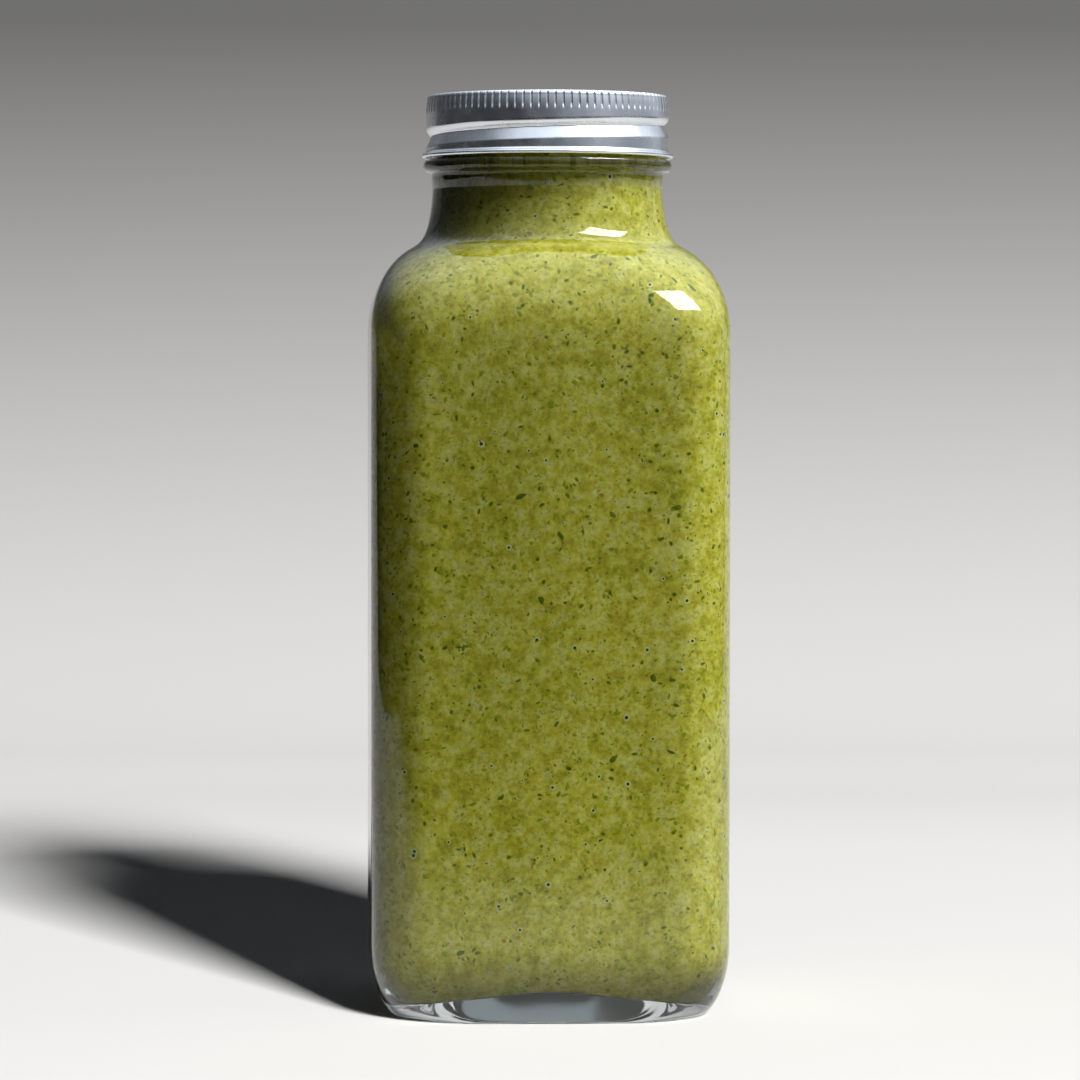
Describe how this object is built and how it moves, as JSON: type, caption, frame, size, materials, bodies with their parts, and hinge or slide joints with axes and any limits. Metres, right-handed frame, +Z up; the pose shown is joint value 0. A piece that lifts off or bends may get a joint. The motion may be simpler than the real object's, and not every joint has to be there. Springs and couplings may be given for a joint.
{
  "type": "bottled green smoothie",
  "caption": "Speckled green smoothie filling a clear square glass bottle with a round neck and a plain ribbed metal screw cap.",
  "frame": {"origin": "on the table, under the middle of the base", "axes": "+Z up along the bottle, the flat front face looks along -Y, +X to its right"},
  "size_m": [0.067, 0.067, 0.1694],
  "materials": {
    "glass": "clear, polished",
    "smoothie": "thick blended drink, yellow green with dark green flecks",
    "cap_metal": "satin"
  },
  "bodies": {
    "root": {"bottle": "glass", "smoothie": "smoothie", "cap": "cap_metal"}
  },
  "joints": []
}
